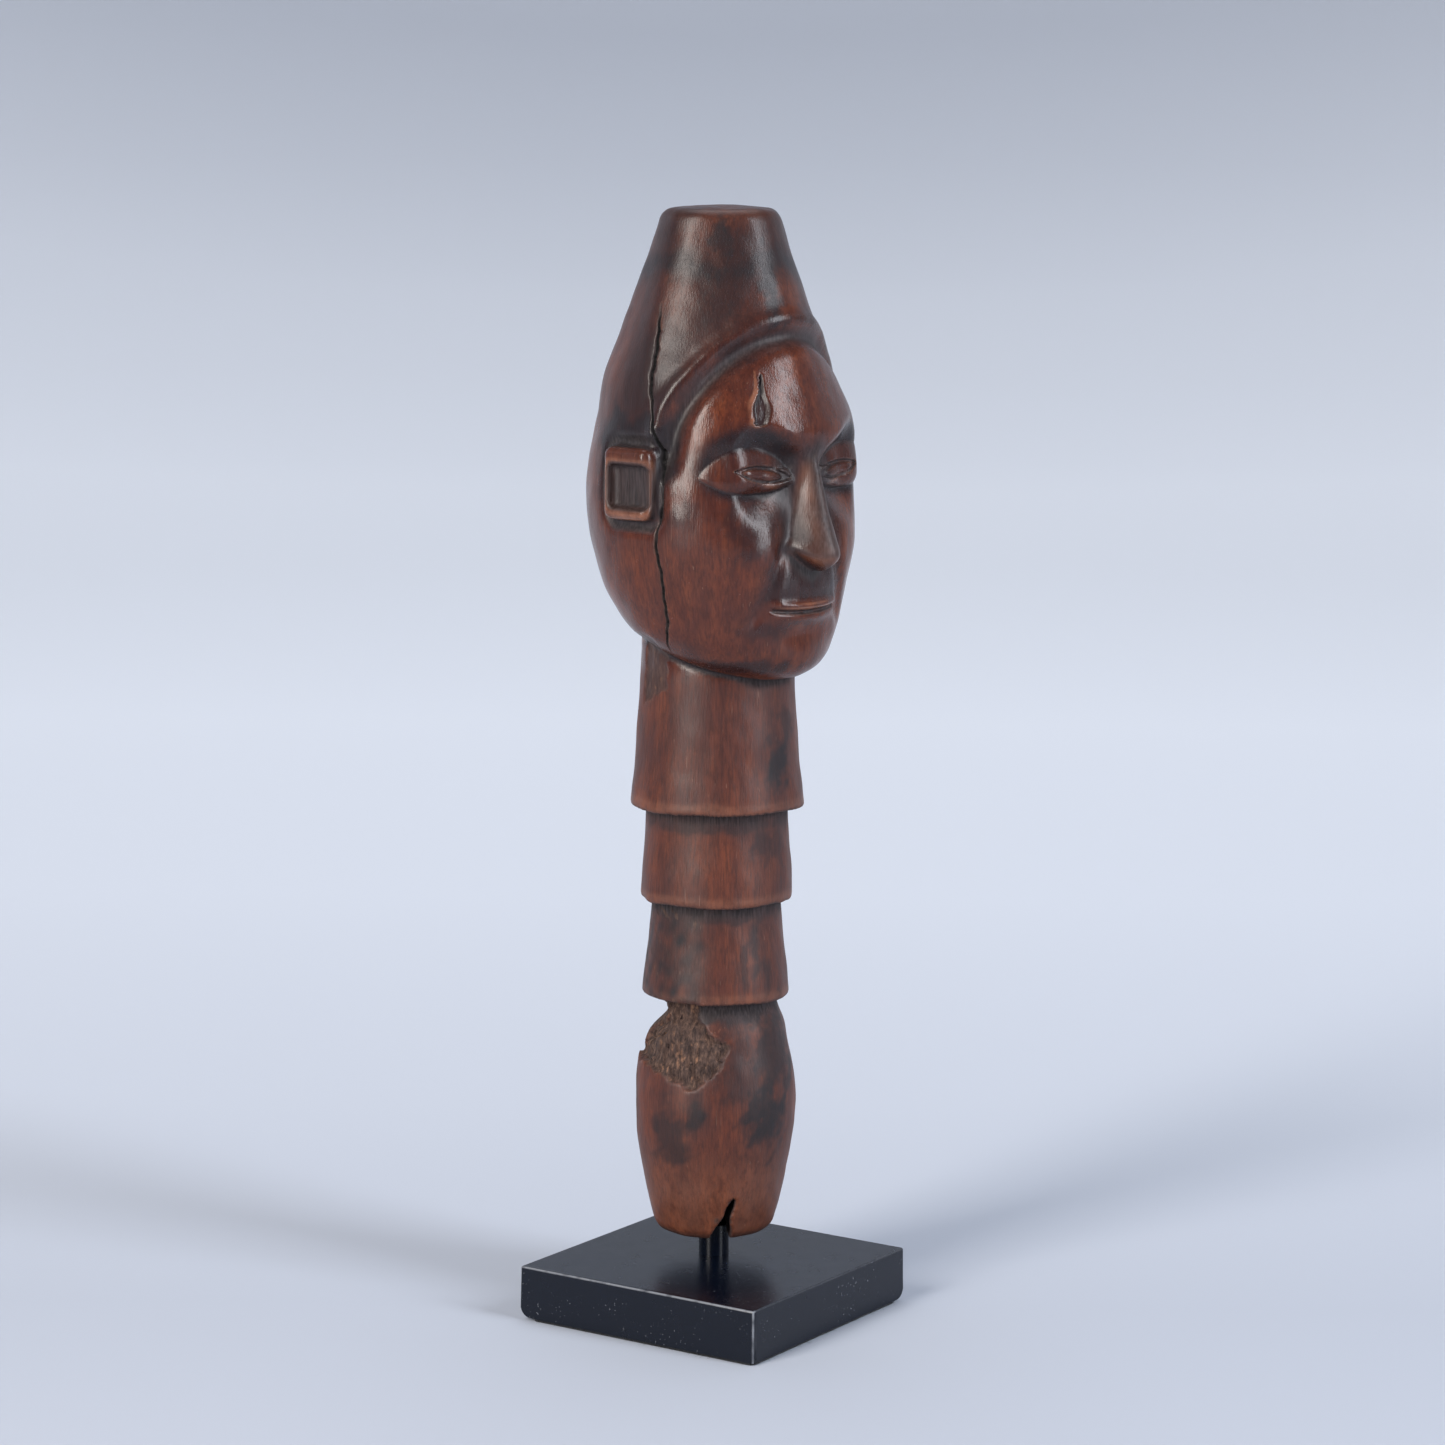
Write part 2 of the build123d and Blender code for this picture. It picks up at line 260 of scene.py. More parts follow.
def eye_place(across, forward, up):
    """A point beside the nearer eye: outwards along it, and above its corners."""
    x, y = np.abs(across) - EYE_ACROSS, forward - EYE_FORWARD
    return x * math.cos(EYE_TURN) - y * math.sin(EYE_TURN), up - EYE_UP


def lid_place(out, high):
    """A point on the lids: 0 at their seam and 1 at their edge, with how full they are there."""
    along = (out + 0.3) / 9.0
    line = -0.2 + 0.05 * out
    full = np.clip(1 - along**2, 1e-4, 1)
    lid = np.abs(high - line) / np.where(high > line, 5.7 * full**0.75, 2.7 * full**0.75)
    return lid, full


def eye_relief(across, forward, up):
    """The bowl under the brow, the two heavy lids, and the slit with the eyeball in it."""
    out, high = eye_place(across, forward, up)
    above = high > 1.5
    bowl = np.hypot((out + 0.2) / 10.4, (high - 1.5) / np.where(above, 8.2, 10.0))
    depth = -(3.2 - 3.1 * ease(-3.0, 4.0, out)) * ease(1.12, np.where(above, 0.4, 0.25), bowl)
    lid, full = lid_place(out, high)
    depth += (2.1 - 1.45 * ease(-1, 5, out)) * full**0.6 * np.clip(1 - lid**2, 0, 1) ** 0.8
    slit_along = (out + 2.9) / 6.0
    slit = np.abs(high - 0.75 - 0.13 * (out + 2.5)) / (1.5 * np.clip(1 - slit_along**2, 1e-3, 1))
    depth -= 0.6 * ease(1.2, 0.7, slit) * (np.abs(slit_along) < 1)
    eyeball = np.hypot((out + 2.6) / 4.0, (high - 0.65 - 0.13 * (out + 2.5)) / 1.05)
    depth += 0.8 * np.sqrt(np.clip(1 - eyeball**2, 0, 1))
    return depth * ease(0.5, 4.0, np.abs(across)) * (forward > 0)


def mouth_relief(across, forward, up):
    """Thin lips with a slit between them, on a mound that runs up to the nose."""
    wide = np.abs(across) / MOUTH_HALF
    full = np.clip(1 - wide**2, 0, 1)
    bow = MOUTH_UP + 0.5 * wide**2
    relief = 0.9 * hump(np.hypot(across / 9, (up - 135) / 5), 0, 0.8)
    relief += 1.1 * full**0.6 * hump(up, bow + 1.0, 0.85)
    relief += 0.8 * full * hump(up, bow - 1.15, 1.0)
    relief -= 0.6 * ease(1.05, 0.85, wide) * hump(up, bow, 0.4)
    relief -= 0.75 * hump(np.hypot(across / 6, (up - 127.2) / 1.9), 0, 1.0)
    relief += 0.5 * hump(np.hypot(across / 7, (up - 122.5) / 3.5), 0, 1.0)
    fold = np.abs(across) - through([(128, 11.0), (132, 9.8), (137, 8.4), (142, 6.9)], up)
    relief -= 0.7 * hump(fold, 0, 1.5) * ease(127, 131, up) * ease(145, 141, up)
    return relief * (forward > 0)


def face_relief(across, forward, up):
    """What is raised or cut on the head's surface, in millimetres."""
    hair = hairline(across, forward, up)
    on_arch = ease(153.5, 160, up)
    relief = on_arch * (0.75 * hump(hair, 1.9, 1.5) - 1.6 * hump(hair, -1.6, 1.8))
    relief -= 0.3 * on_arch * ease(0, -3, hair)
    bridge = ease(10.5, 3.5, np.abs(across)) * ease(138, 149, up) * ease(165, 157, up)
    relief -= 0.9 * bridge * (forward > 0)
    relief += 0.35 * hump(up, 162.5, 4.0) * ease(75, 40, np.abs(azimuth_of(across, forward)))
    cheek = np.hypot((np.abs(across) - 11.5) / 6.5, (up - 141.5) / 6.0)
    relief += 0.8 * hump(cheek, 0, 1) * (forward > 0)
    relief += eye_relief(across, forward, up) + mouth_relief(across, forward, up)
    return relief - 0.7 * ease(1.3, 0.5, gouge_place(across, up)) * (forward > 0)


def gouge_place(across, up):
    """The flame-shaped gouge over the right brow: below 1 inside it."""
    climb = np.clip((up - 164.6) / 8.2, 0, 1)
    half = through([(0, 0.9), (0.35, 1.25), (0.6, 0.55), (1, 0.12)], climb)
    past_its_ends = np.maximum(np.abs(up - 168.7) - 3.9, 0) * 2
    return np.hypot(np.abs(across + 11.3 - 2.4 * climb) / half, past_its_ends)


def nose_field(across, forward, up):
    """A long ridge that widens to two small wings, tucked under at its tip."""
    tall = through(NOSE_RIDGE, up) - NOSE_BASE
    wide = through(NOSE_WIDTH, up)
    x, y = np.abs(across) / wide, np.abs(forward - NOSE_BASE) / tall
    near = (x**1.75 + y**1.75) ** (1 / 1.75)
    bridge = (near - 1) * wide * 0.9
    under = 138.4 + 0.62 * np.abs(across) - 0.12 * (forward - 24) - up
    return shared(shared(bridge, under, 2.0), up - 163, 3.0)


def ear_fields(across, forward, up):
    """A rounded square block on each side of the head, and the square hollow in it."""
    out = np.abs(across)
    block = brick(out, forward, up, (21.6, 0.3, 153.6), (3.1, 5.4, 6.4), 1.6)
    hollow = brick(out, forward, up, (25.6, 0.95, 153.2), (2.7, 4.5, 3.85), 1.2)
    return block, hollow


def head_and_face(across, forward, up):
    """The head with its face, nose and ears."""
    head = head_field(across, forward, up)
    shape = head - face_relief(across, forward, up)
    shape = joined(shape, nose_field(across, forward, up), 1.1)
    block, hollow = ear_fields(across, forward, up)
    shape = shape + 1.0 * hump(block, 0.7, 1.3)
    return shared(joined(shape, block, 0.7), -hollow, 0.8)


def collar_field(radius, up, outline):
    """One collar: a flared tube whose underside rises towards the middle."""
    low, top = outline[0][0], outline[-1][0]
    side = radius - through(outline, up)
    under = low + UNDERCUT * (outline[0][1] - radius) - up
    return np.maximum(shared(side, under, RING_EDGE), up - top - 3)


def lower_part(across, forward, up):
    """The barrel foot, two collars, and the tall collar that is also the neck."""
    radius = np.hypot(across, forward)
    foot_end = FOOT + 1.0 * ease(4.4, 3.4, radius) - up
    barrel = shared(radius - through(BARREL, up), foot_end, FOOT_EDGE)
    shape = np.maximum(barrel, up - 62)
    for outline in (RING_3, RING_2):
        shape = joined(shape, collar_field(radius, up, outline), 0.4)
    neck = collar_field(radius, up, RING_1)
    return joined(shape, np.maximum(neck, up - NECK_IN_HEAD), 0.4)


def pin_cuts(across, forward, up):
    """The bore for the pin, and the V-shaped split that opens it to the front right."""
    bore = np.maximum(np.hypot(across, forward) - BORE_RADIUS, up - BORE_TOP)
    outwards = across * math.sin(SPLIT_AZIMUTH) + forward * math.cos(SPLIT_AZIMUTH)
    sideways = across * math.cos(SPLIT_AZIMUTH) - forward * math.sin(SPLIT_AZIMUTH)
    climb = np.clip((up - FOOT) / (SPLIT_TOP - FOOT), 0, 1)
    half = 1.75 * (1 - climb) ** 0.8 + 0.25 * np.sin(climb * 9)
    wedge = np.maximum(np.abs(sideways - SPLIT_LEAN * climb**1.3) - half * (climb < 1), up - SPLIT_TOP)
    return np.minimum(bore, np.maximum(wedge * 0.8, -outwards))


def broken_patch(across, forward, up):
    """The share of broken, fibrous wood on the barrel's shoulder: 1 inside the break."""
    azimuth = azimuth_of(across, forward)
    round_barrel = np.radians(azimuth - BREAK_AZIMUTH) * BREAK_RADIUS
    ragged = 0.45 * unevenness(across, forward, up, 4.0, 11)
    ragged = ragged + 0.3 * unevenness(across, forward, up, 1.5, 12)
    high = up + ragged - through(BREAK_FOOT, round_barrel)
    right_side = through(BREAK_RIGHT, up) - round_barrel + ragged
    left_side = round_barrel + 19 + ragged
    inside = np.minimum(np.minimum(high, right_side), left_side)
    return ease(-0.25, 0.35, inside) * ease(59.6, 58.6, up)


def flake_field(across, forward, up):
    """Positive where a flake of wood has split off the barrel's shoulder, at the back right."""
    outwards = across * math.sin(FLAKE_AZIMUTH) + forward * math.cos(FLAKE_AZIMUTH)
    beyond = outwards - through(FLAKE, up)
    return np.minimum(beyond, 58.0 - up)


def rough_neck_patch(across, forward, up):
    """The square of torn grain behind the ear's foot, high on the neck."""
    azimuth = azimuth_of(across, forward)
    sides = np.minimum(azimuth + 114, -87 - azimuth) * 0.25
    inside = np.minimum(sides, up - 114.8 - 0.12 * (azimuth + 100))
    inside = inside + 0.35 * unevenness(across, forward, up, 2.5, 21)
    return ease(-0.3, 0.3, inside) * ease(127, 125, up)


def crack_width(up):
    """About how wide the drying crack is, in millimetres: it narrows to both ends."""
    return 0.30 * ease(123, 129, up) * ease(185.5, 178, up) + 0.05


def crack_distance(across, forward, up):
    """How far a point is from the wandering line of the drying crack."""
    wander = 0.18 * unevenness(up * 0, up * 0, up, 6.0, 31) + 0.08 * np.sin(up * 2.1)
    away = np.abs(forward - through(CRACK, up) - wander)
    return away + 50 * ((across > 0) | (up < 123) | (up > 185.5))


def carving(across, forward, up, fine=True):
    """The whole doll. Without fine it leaves out what is smaller than the first net's mesh."""
    shape = np.full(across.shape, 1e3)
    low = up < NECK_IN_HEAD
    if low.any():
        shape[low] = lower_part(across[low], forward[low], up[low])
    high = up > 112
    if high.any():
        place = across[high], forward[high], up[high]
        head = head_and_face(*place)
        neck = shape[high]
        groove = 0.25 * np.exp(-((head**2 + neck**2) / 2.5)) * (neck < 50)
        shape[high] = joined(head, neck, 0.8) + groove
    shape = np.maximum(shape, -pin_cuts(across, forward, up))
    shape = shared(shape, flake_field(across, forward, up), 0.7)
    if fine:
        shape = shape + small_marks(across, forward, up)
    return shape


def small_marks(across, forward, up):
    """What hand work, handling and damage took off the surface, in millimetres."""
    off = 0.10 * unevenness(across, forward, up, 11, 1, 2.5)
    off = off + 0.045 * unevenness(across, forward, up, 4, 2, 1.5)
    broken = broken_patch(across, forward, up)
    fibres = unevenness(across, forward, up, 1.3, 3, 3.5)
    fibres = fibres + 0.6 * unevenness(across, forward, up, 3.5, 4, 1.5)
    lumps = 0.45 * unevenness(across, forward, up, 5.0, 6)
    depth = 0.75 + 0.7 * ease(-85, -130, azimuth_of(across, forward))
    off = off + broken * (depth + 0.24 * fibres + lumps)
    torn = rough_neck_patch(across, forward, up)
    off = off + torn * (0.32 + 0.07 * unevenness(across, forward, up, 1.0, 5, 2))
    crack = crack_distance(across, forward, up)
    off = off + 0.8 * crack_width(up) / 0.35 * hump(crack, 0, 0.7 * crack_width(up))
    return off


# ---------------------------------------------------------------- from the field to a mesh

MESH_MM = 0.5
ROOM_SIDE, ROOM_LOW, ROOM_HIGH = 29.0, 14.5, 203.5
LEVELS_AT_ONCE = 12


def sampled_field():
    """The carving's field at every point of a square lattice, a few levels at a time."""
    flat = np.arange(-ROOM_SIDE, ROOM_SIDE, MESH_MM)
    levels = np.arange(ROOM_LOW, ROOM_HIGH, MESH_MM)
    field = np.empty((len(flat), len(flat), len(levels)))
    for start in range(0, len(levels), LEVELS_AT_ONCE):
        some = slice(start, start + LEVELS_AT_ONCE)
        grid = np.meshgrid(flat, flat, levels[some], indexing="ij")
        found = carving(*(g.ravel() for g in grid), fine=False)
        field[:, :, some] = found.reshape(grid[0].shape)
    return field, np.array((flat[0], flat[0], levels[0]))


def net_over(field, low):
    """Points and four-cornered faces over the zero surface: one point in each cell it crosses."""
    inside = field < 0
    corners = np.array([(i, j, k) for i in (0, 1) for j in (0, 1) for k in (0, 1)])
    cells = tuple(n - 1 for n in field.shape)
    blocks = [tuple(slice(at, at + n) for at, n in zip(corner, cells)) for corner in corners]
    count = sum(inside[block].astype(int) for block in blocks)
    crossed = (count > 0) & (count < 8)
    number = np.full(cells, -1)
    number[crossed] = np.arange(crossed.sum())
    cell = np.argwhere(crossed)
    total, hits = np.zeros((len(cell), 3)), np.zeros(len(cell))
    for a in corners:
        for b in corners:
            if (b - a).min() < 0 or (b - a).sum() != 1:
                continue
            at_a, at_b = field[tuple((cell + a).T)], field[tuple((cell + b).T)]
            between = (at_a < 0) != (at_b < 0)
            share = np.where(between, at_a / np.where(between, at_a - at_b, 1), 0)
            total += between[:, None] * (a + share[:, None] * (b - a))
            hits += between
    points = low + MESH_MM * (cell + total / hits[:, None])
    faces = []
    for axis in range(3):
        one, other = np.eye(3, dtype=int)[(axis + 1) % 3], np.eye(3, dtype=int)[(axis + 2) % 3]
        ends = inside.take(range(1, field.shape[axis]), axis), inside.take(range(cells[axis]), axis)
        edge = np.argwhere(ends[0] != ends[1])
        outward = ends[1][tuple(edge.T)]
        around = [edge, edge - one, edge - one - other, edge - other]
        quads = np.stack([number[tuple(c.T)] for c in around], axis=1)
        faces.append(np.where(outward[:, None], quads, quads[:, ::-1]))
    return points, np.concatenate(faces)


def steepest(points, step=0.05):
    """The field at these points and the way it grows fastest."""
    here = carving(*points.T)
    ways = [carving(*(points + way).T) - carving(*(points - way).T) for way in np.eye(3) * step]
    return here, np.stack(ways, axis=1) / (2 * step)


def pulled_on(points, rounds, reach=0.35):
    """The points moved along the field until they lie on the wood's surface."""
    for _ in range(rounds):
        here, grown = steepest(points)
        step = here / np.maximum((grown**2).sum(1), 0.09)
        length = np.abs(step) * np.linalg.norm(grown, axis=1)
        step *= np.minimum(1, reach / np.maximum(length, 1e-9))
        points = points - step[:, None] * grown
    return points


def read_points(mesh):
    """A mesh's points, one in each row."""
    flat = np.empty(len(mesh.vertices) * 3)
    mesh.vertices.foreach_get("co", flat)
    return flat.reshape(-1, 3)


def wants_finer(points, passes_done):
    """Where the net has to be finer: along the crack, the eyes, the mouth, the nose and the split."""
    across, forward, up = points.T
    finer = crack_distance(across, forward, up) < (1.0 if passes_done == 0 else 0.55)
    if passes_done == 0:
        out, high = eye_place(across, forward, up)
        finer |= (np.abs(out) < 9) & (high > -4) & (high < 9) & (forward > 8)
        finer |= (np.abs(across) < 9.5) & (np.abs(up - MOUTH_UP) < 2.6) & (forward > 14)
        finer |= (np.abs(across) < 6.5) & (up > 137) & (up < 146) & (forward > 18)
        finer |= (np.abs(across + 10) < 2.4) & (up > 163) & (up < 174) & (forward > 10)
        finer |= broken_patch(across, forward, up) > 0.05
    return finer


def carved_mesh():
    """The doll's mesh: a net over the field, made finer where the carving is fine."""
    field, low = sampled_field()
    points, faces = net_over(field, low)
    points = pulled_on(points, 3)
    mesh = bpy.data.meshes.new("carved_doll")
    mesh.from_pydata(points.tolist(), [], faces.tolist())
    for passes_done in range(2):
        marked = wants_finer(read_points(mesh), passes_done)
        work = bmesh.new()
        work.from_mesh(mesh)
        work.verts.ensure_lookup_table()
        edges = [e for e in work.edges if marked[e.verts[0].index] and marked[e.verts[1].index]]
        bmesh.ops.subdivide_edges(work, edges=edges, cuts=1, use_grid_fill=True)
        work.to_mesh(mesh)
        work.free()
        points = pulled_on(read_points(mesh), 2, 0.2)
        mesh.vertices.foreach_set("co", points.ravel())
    mesh.update()
    return mesh


# ---------------------------------------------------------------- age, wear and painted shade on the wood

# Dark stains and painted shade: azimuth, height, half width round the wood in mm, half height, strength
STAINS_AND_SHADE = [
    (2, 103.0, 3.6, 4.6, 0.9),
    (14, 110.0, 2.4, 3.0, 0.6),
    (-5, 38.8, 5.6, 6.3, 0.9),
    (-25, 48.0, 5.5, 8.0, 0.55),
    (8, 50.0, 6.5, 8.5, 0.78),
    (-81, 34.0, 4.2, 6.0, 0.66),
    (-59, 39.5, 2.0, 4.0, 0.85),
    # painted shade under the third collar
    (-40, 57.0, 12.0, 2.0, 0.8),
    (-12, 70.0, 1.2, 5.5, 0.7),
    (-22, 67.0, 0.8, 4.0, 0.6),
    (0, 64.0, 1.0, 3.0, 0.6),
    (-8, 89.0, 3.0, 3.2, 0.6),
    (10, 88.0, 2.0, 3.0, 0.5),
    # the next two rows are painted shade under the first and second collars
    (-47, 91.8, 20.0, 1.3, 0.6),
    (-47, 75.0, 20.0, 1.2, 0.6),
    (-45, 196.0, 2.2, 4.5, 0.85),
    (-12, 188.0, 2.4, 9.0, 0.9),
    (-40, 177.0, 2.6, 3.4, 0.7),
    (-62, 170.0, 3.0, 4.5, 0.55),
    (-28, 184.0, 4.2, 6.0, 0.45),
    # painted shade under the jaw
    (-30, 121.5, 10.0, 1.4, 0.7),
    (-29, 146.0, 6.5, 6.0, 0.6),
    (-60, 148.5, 3.2, 2.4, 0.4),
    (-25, 128.0, 4.5, 1.6, 0.5),
]


def shade_and_patina_round_eye(across, forward, up):
    """1 in the hollow under the brow, and a little over the lids themselves: where dark patination and
    painted shade are laid.
    """
    out, high = eye_place(across, forward, up)
    bowl = np.hypot((out + 0.2) / 10.4, (high - 1.5) / np.where(high > 1.5, 8.2, 6.0))
    lid, full = lid_place(out, high)
    return ease(1.12, 0.78, bowl) * (1 - 0.72 * ease(1.05, 0.8, lid)) * (forward > 0)


def stain_and_shade_share(across, forward, up):
    """How much dark, old patination and painted shade lie on the wood, apart from the hollows' share."""
    azimuth, radius = azimuth_of(across, forward), np.hypot(across, forward)
    side, face = np.abs(across), (forward > 0) * (up > 117)
    ragged = 0.35 * unevenness(across, forward, up, 5, 41)
    ragged = ragged + 0.2 * unevenness(across, forward, up, 1.8, 42)
    shares = [np.zeros(len(up))]
    for at, height, half_width, half_height, strength in STAINS_AND_SHADE:
        around = np.radians((azimuth - at + 180) % 360 - 180) * radius
        far = np.hypot(around / half_width, (up - height) / half_height) + ragged
        shares.append(strength * ease(1.3, 0.5, far))
    hair = hairline(across, forward, up)
    # Dust and painted shade in the hairline groove
    shares.append(0.6 * hump(hair + 0.6 * ragged, -1.7, 1.7) * ease(152, 158, up) * (forward > -3))
    # dark patination and painted shade in the bowl under the brow
    shares.append(0.9 * shade_and_patina_round_eye(across, forward, up))
    # painted shade down both sides of the nose
    shares.append(0.8 * hump(side, 5.2, 3.2) * ease(139, 143, up) * ease(163, 157, up) * face)
    over_lip = ease(132.6, 134, up) * ease(141.5, 138, up)
    shares.append(0.75 * ease(11, 8, side + 2 * ragged) * over_lip * face)
    block, recess = ear_fields(across, forward, up)
    # a painted shadow all round the ear block, reaching further above it
    shadow_round_ear = ease(5.5, 1.0, block + 2.2 * ragged + 0.32 * (154 - up))
    shares.append(0.95 * shadow_round_ear * ease(0.0, 0.3, block))
    shares.append(0.3 * ease(0.9, 0.1, recess))
    shares.append(0.75 * ease(1.5, 0.9, gouge_place(across, up)) * face)
    shares.append(0.5 * rough_neck_patch(across, forward, up))
    lumps = unevenness(across, forward, up, 4.5, 46)
    shares.append(ease(0.0, 0.6, lumps) * 0.75 * broken_patch(across, forward, up))
    # painted shade in the corner under the jaw, where the head meets the neck
    neck = radius - through(RING_1, np.minimum(up, 122))
    shade_under_jaw = hump(np.hypot(head_field(across, forward, up), neck) + 0.5 * ragged, 0, 1.5)
    shares.append(0.9 * shade_under_jaw * (up > 112))
    old_hair = 0.42 + 0.4 * unevenness(across, forward, up, 13, 43, 2)
    shares.append(np.clip(old_hair, 0.1, 0.75) * ease(0.2, 1.2, hair) * ease(160, 168, up))
    old_ring = 0.5 + 0.35 * unevenness(across, forward, up, 3.0, 44)
    old_side = ease(-54, -62, azimuth + 8 * ragged) * ease(-165, -150, azimuth)
    shares.append(old_ring * old_side * ease(58, 59, up) * ease(77, 76, up))
    return np.clip(np.maximum.reduce(shares), 0, 1)


def bare_wood(across, forward, up):
    """The share of torn or broken wood: shoulder, flake, square on the neck, specks on ring three."""
    azimuth = azimuth_of(across, forward)
    specks = ease(0.55, 0.95, unevenness(across, forward, up, 1.6, 45)) * ease(-52, -64, azimuth)
    rims = hump(up, 75.2, 1.0) + hump(up, 60.0, 1.6) + 0.35 * ease(59, 60, up) * ease(76, 75, up)
    on_ring = specks * np.clip(rims, 0, 1) * (up > 58.6) * (up < 76.6)
    torn = rough_neck_patch(across, forward, up) * 0.4
    flake = ease(-0.6, -0.1, flake_field(across, forward, up))
    splinter = ease(0.5, 0.1, ball(across, forward, up, (-8.6, 8.9, 18.9), (0.6, 0.6, 0.7)))
    return np.maximum.reduce([broken_patch(across, forward, up), torn, 0.8 * on_ring, flake, splinter])


def laid_on(mesh, name, share):
    """Lays a share on the mesh's points, by the name that a material reads."""
    layer = mesh.attributes.new(name, "FLOAT", "POINT")
    layer.data.foreach_set("value", np.clip(share, 0, 1).astype(np.float32))


def lay_age_on(mesh):
    """Dust and painted shade darken the hollows, edges wear bright, the head is polished, and breaks show
    bare wood.
    """
    points = read_points(mesh)
    across, forward, up = points.T
    _, grown = steepest(points)
    outward = grown / np.linalg.norm(grown, axis=1)[:, None]
    # Dust and painted occlusion shade: the share grows where the carving closes in on a point, sounded a
    # little way out along its normal
    hollow = np.zeros(len(points))
    for reach, weight in ((0.8, 0.5), (2.0, 0.6), (4.5, 0.5)):
        clear = carving(*(points + reach * outward).T) / reach
        hollow += weight * np.clip(1 - clear, 0, 1)
    inside = carving(*(points - 1.6 * outward).T) / 1.6
    recess = ear_fields(across, forward, up)[1]
    # Dust and painted shade in the hairline groove, also in the hollow share
    groove = 0.8 * hump(hairline(across, forward, up), -1.6, 1.3) * ease(154, 160, up) * (forward > -3)
    # painted shade on the nose's flanks, which also makes them duller
    shade_on_nose_flank = 0.75 * hump(np.abs(across), 4.0, 2.0) * ease(142, 145, up) * ease(161, 156, up)
    shade_on_nose_flank = shade_on_nose_flank * (forward > 15)
    dust_and_shade_in_hollows = [ease(0.12, 0.75, hollow), 0.95 * ease(0.9, 0.1, recess), groove, shade_on_nose_flank]
    laid_on(mesh, "hollow", np.maximum.reduce(dust_and_shade_in_hollows))
    beside_split = ease(9, 28, np.abs(azimuth_of(across, forward) + 36)) + ease(24, 27, up)
    on_head = ease(117, 121, up)
    worn = ease(0.05, 0.45, 1 + inside) * np.clip(beside_split, 0.15, 1) * (0.35 + 0.65 * on_head)
    laid_on(mesh, "worn", np.maximum(worn, 0.35 * ease(36, 22, up)))
    laid_on(mesh, "stain_and_shade", stain_and_shade_share(across, forward, up))
    laid_on(mesh, "broken", bare_wood(across, forward, up))
    in_hair = ease(1, 5, hairline(across, forward, up)) * ease(160, 170, up)
    laid_on(mesh, "handled", on_head * (1 - 0.45 * in_hair))
    crack = crack_distance(across, forward, up)
    # the crack share paints the crack and its edges near black: painted shade
    laid_on(mesh, "crack", ease(0.4, 0.2, crack) * ease(123, 126, up) * ease(185.5, 181, up))


# ---------------------------------------------------------------- materials

TIMES = {"operation": "MULTIPLY", "use_clamp": True}
TIMES_PLUS = {"operation": "MULTIPLY_ADD"}
LAID_OVER = {"data_type": "RGBA", "out": 2}


def linear(hex_colour):
    """An sRGB hex colour as the linear values that a shader takes."""
    parts = [int(hex_colour[i : i + 2], 16) / 255 for i in (1, 3, 5)]
    return [p / 12.92 if p <= 0.04045 else ((p + 0.055) / 1.055) ** 2.4 for p in parts] + [1.0]


def node(tree, kind, inputs, out=0, stops=(), **settings):
    """Adds a node with its settings and links, and gives one of its outputs.

    Inputs are numbers, hex colours or other nodes' outputs, by a socket's name or place. Stops are a
    colour ramp's pairs of a position and a hex colour or share.
    """
    made = tree.nodes.new("ShaderNode" + kind)
    for name, value in settings.items():
        setattr(made, name, value)
    for name, value in inputs.items():
        if isinstance(value, bpy.types.NodeSocket):
            tree.links.new(value, made.inputs[name])
        else:
            made.inputs[name].default_value = linear(value) if isinstance(value, str) else value
    for i, (place, colour) in enumerate(stops):
        band = made.color_ramp.elements
        stop = band[i] if i < len(band) else band.new(place)
        stop.position = place
        stop.color = linear(colour) if isinstance(colour, str) else [colour] * 3 + [1]
    return made.outputs[out] if len(made.outputs) else None


def new_material(name):
    """An empty material, and the tree that its nodes go in."""
    material = bpy.data.materials.new(name)
    material.use_nodes = True
    material.node_tree.nodes.clear()
    return material, material.node_tree


